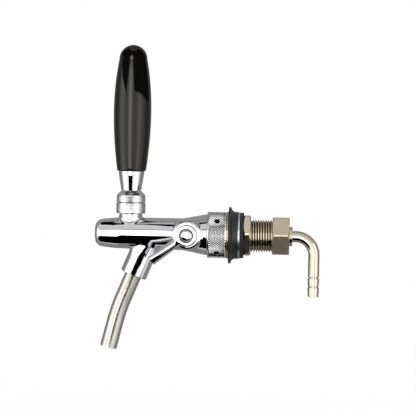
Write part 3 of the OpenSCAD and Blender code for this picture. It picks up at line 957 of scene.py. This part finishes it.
# Each term is a smooth step of the way's height, its forward part or its angle round the object.
walls = world_step(ahead, -0.22, 0.30, 0.24, 1.0)
ceiling = world_step(height, 0.52, 0.56, 1.0, 0.68)
overhead = world_step(ahead, -0.16, -0.10, 0.14, 0)
edge_line = world_math("MULTIPLY", world_step(height, 0.455, 0.47), world_step(height, 0.515, 0.53, 1, 0))
edge_line = world_math("MULTIPLY", edge_line, world_step(ahead, 0.4, 0.5))
near_level = world_math("MULTIPLY", world_step(height, -0.42, -0.3), world_step(height, 0.3, 0.45, 1, 0))
streaks = world_math("ADD", world_peak(azimuth, -9, 20, 2.2), world_peak(azimuth, -60, 30, 1.0))
streaks = world_math("ADD", streaks, world_peak(azimuth, 50, 26, 0.9))
low_gap = world_math("MULTIPLY", world_step(height, -0.43, -0.40, 1, 0), world_step(ahead, 0.06, 0.10))
low_gap = world_math("MULTIPLY", low_gap, world_step(world_math("ABSOLUTE", side), 0.75, 0.9, 1, 0))
streaks = world_math("MULTIPLY", streaks, near_level)
shade = world_math("ADD", world_math("MULTIPLY", walls, ceiling), streaks)
shade = world_math("ADD", shade, world_math("MULTIPLY", overhead, world_step(height, 0.3, 0.5)))
shade = world_math("MULTIPLY", shade, world_math("SUBTRACT", 1.0, world_math("MULTIPLY", edge_line, 0.95)))
shade = world_math("MULTIPLY", shade, world_math("SUBTRACT", 1.0, low_gap))
rays = wn.new("ShaderNodeLightPath")
glossy = rays.outputs["Is Glossy Ray"]
seen = world_math("ADD", world_math("MULTIPLY", shade, glossy), world_math("SUBTRACT", 1.0, glossy))
wl.new(seen, background.inputs["Strength"])
background.inputs["Color"].default_value = (1, 1, 1, 1)

scene.view_settings.view_transform = "Standard"
scene.cycles.denoising_input_passes = "RGB_ALBEDO_NORMAL"
scene.cycles.denoising_prefilter = "FAST"

# Black flags that only reflections see: two in front of the spout, one in front of the ferrule, and a hood
# that stands round the top of the grip, with a narrow gap at its front.
flag_black, _, _, flag_shader = new_material("flag_black")
flag_shader.inputs["Base Color"].default_value = (0, 0, 0, 1)
flag_shader.inputs["Specular IOR Level"].default_value = 0


def flag(name, quads):
    """A flag made of four-cornered sheets, in millimetres."""
    points = [tuple(np.asarray(point) * MM) for quad in quads for point in quad]
    mesh = bpy.data.meshes.new(name)
    mesh.from_pydata(points, [], [tuple(range(4 * i, 4 * i + 4)) for i in range(len(quads))])
    mesh.materials.append(flag_black)
    sheet = bpy.data.objects.new(name, mesh)
    bpy.context.collection.objects.link(sheet)
    sheet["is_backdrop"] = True
    sheet.visible_camera = False
    sheet.visible_diffuse = False
    sheet.visible_shadow = False
    sheet.visible_transmission = False


SPOUT_FLAG_Y = -60


def spout_flag(name, top, bottom, left, right):
    """A flag in front of the spout: its middle's (x, z) at both ends, and how far it reaches to each side."""
    flag(name, [[(top[0] - left, SPOUT_FLAG_Y, top[1]), (top[0] + right, SPOUT_FLAG_Y, top[1]),
                 (bottom[0] + right, SPOUT_FLAG_Y, bottom[1]), (bottom[0] - left, SPOUT_FLAG_Y, bottom[1])]])


boss_x, lean = BOSS_START[0], math.tan(BOSS_TILT)
boss_top = (boss_x - 12 * lean, -12)
boss_foot = (boss_x - 36 * lean, -36)
spout_tip = spout_path(spout_length)[0]
spout_flag("flag_spout", boss_top, boss_foot, 23, 31)
spout_flag("flag_tube", boss_foot, (spout_tip[0], spout_tip[2] - 10), 8, 22)

# This one slopes along the way that the barrel's top reflects, so that the barrel hardly shows it.
flag("flag_ferrule", [[(HANDLE_X - 10, -27, 19.4), (HANDLE_X + 7.5, -27, 19.4),
                       (HANDLE_X + 12, -43, 34.3), (HANDLE_X - 16, -43, 34.3)]])

# The hood's lower rims, as (degrees round the handle from the front, height).
HOOD_R, HOOD_TOP = 75, 300
for name, rim in {
    "hood_left": [(-115, 160), (-90, 143), (-68, 127), (-50, 117), (-33, 108), (-9, 190)],
    "hood_right": [(-9, 190), (14, 111), (30, 110), (50, 108), (70, 104), (90, 100), (115, 98)],
}.items():
    edge = []
    for degrees, z in rim:
        turn = math.radians(degrees)
        edge.append((HANDLE_X + HOOD_R * math.sin(turn), -HOOD_R * math.cos(turn), z))
    flag(name, [[a, b, (b[0], b[1], HOOD_TOP), (a[0], a[1], HOOD_TOP)] for a, b in zip(edge, edge[1:])])

CAMERA_DISTANCE = 1.05
CAMERA_SIDE = math.radians(2.7)
CAMERA_RISE = math.radians(2.0)
CAMERA_ROLL = math.radians(1.1)
VIEW_WIDTH = 0.2953
AIM_DROP = 0.0064

centre = (low + high) / 2
aim = Vector((centre[0], 0.0, centre[2] - AIM_DROP))
reach = math.cos(CAMERA_RISE)
toward = Vector((math.sin(CAMERA_SIDE) * reach, -math.cos(CAMERA_SIDE) * reach, math.sin(CAMERA_RISE)))
forward = -toward
right = forward.cross(Vector((0, 0, 1))).normalized()
up = right.cross(forward)
tilted_up = up * math.cos(CAMERA_ROLL) - right * math.sin(CAMERA_ROLL)
tilted_right = right * math.cos(CAMERA_ROLL) + up * math.sin(CAMERA_ROLL)
camera_data = bpy.data.cameras.new("camera")
camera_data.sensor_width = 36
camera_data.lens = 36 * CAMERA_DISTANCE / VIEW_WIDTH
camera = bpy.data.objects.new("camera", camera_data)
basis = Matrix((tilted_right, tilted_up, toward)).transposed()
camera.matrix_world = Matrix.Translation(aim + toward * CAMERA_DISTANCE) @ basis.to_4x4()
bpy.context.collection.objects.link(camera)
scene.camera = camera
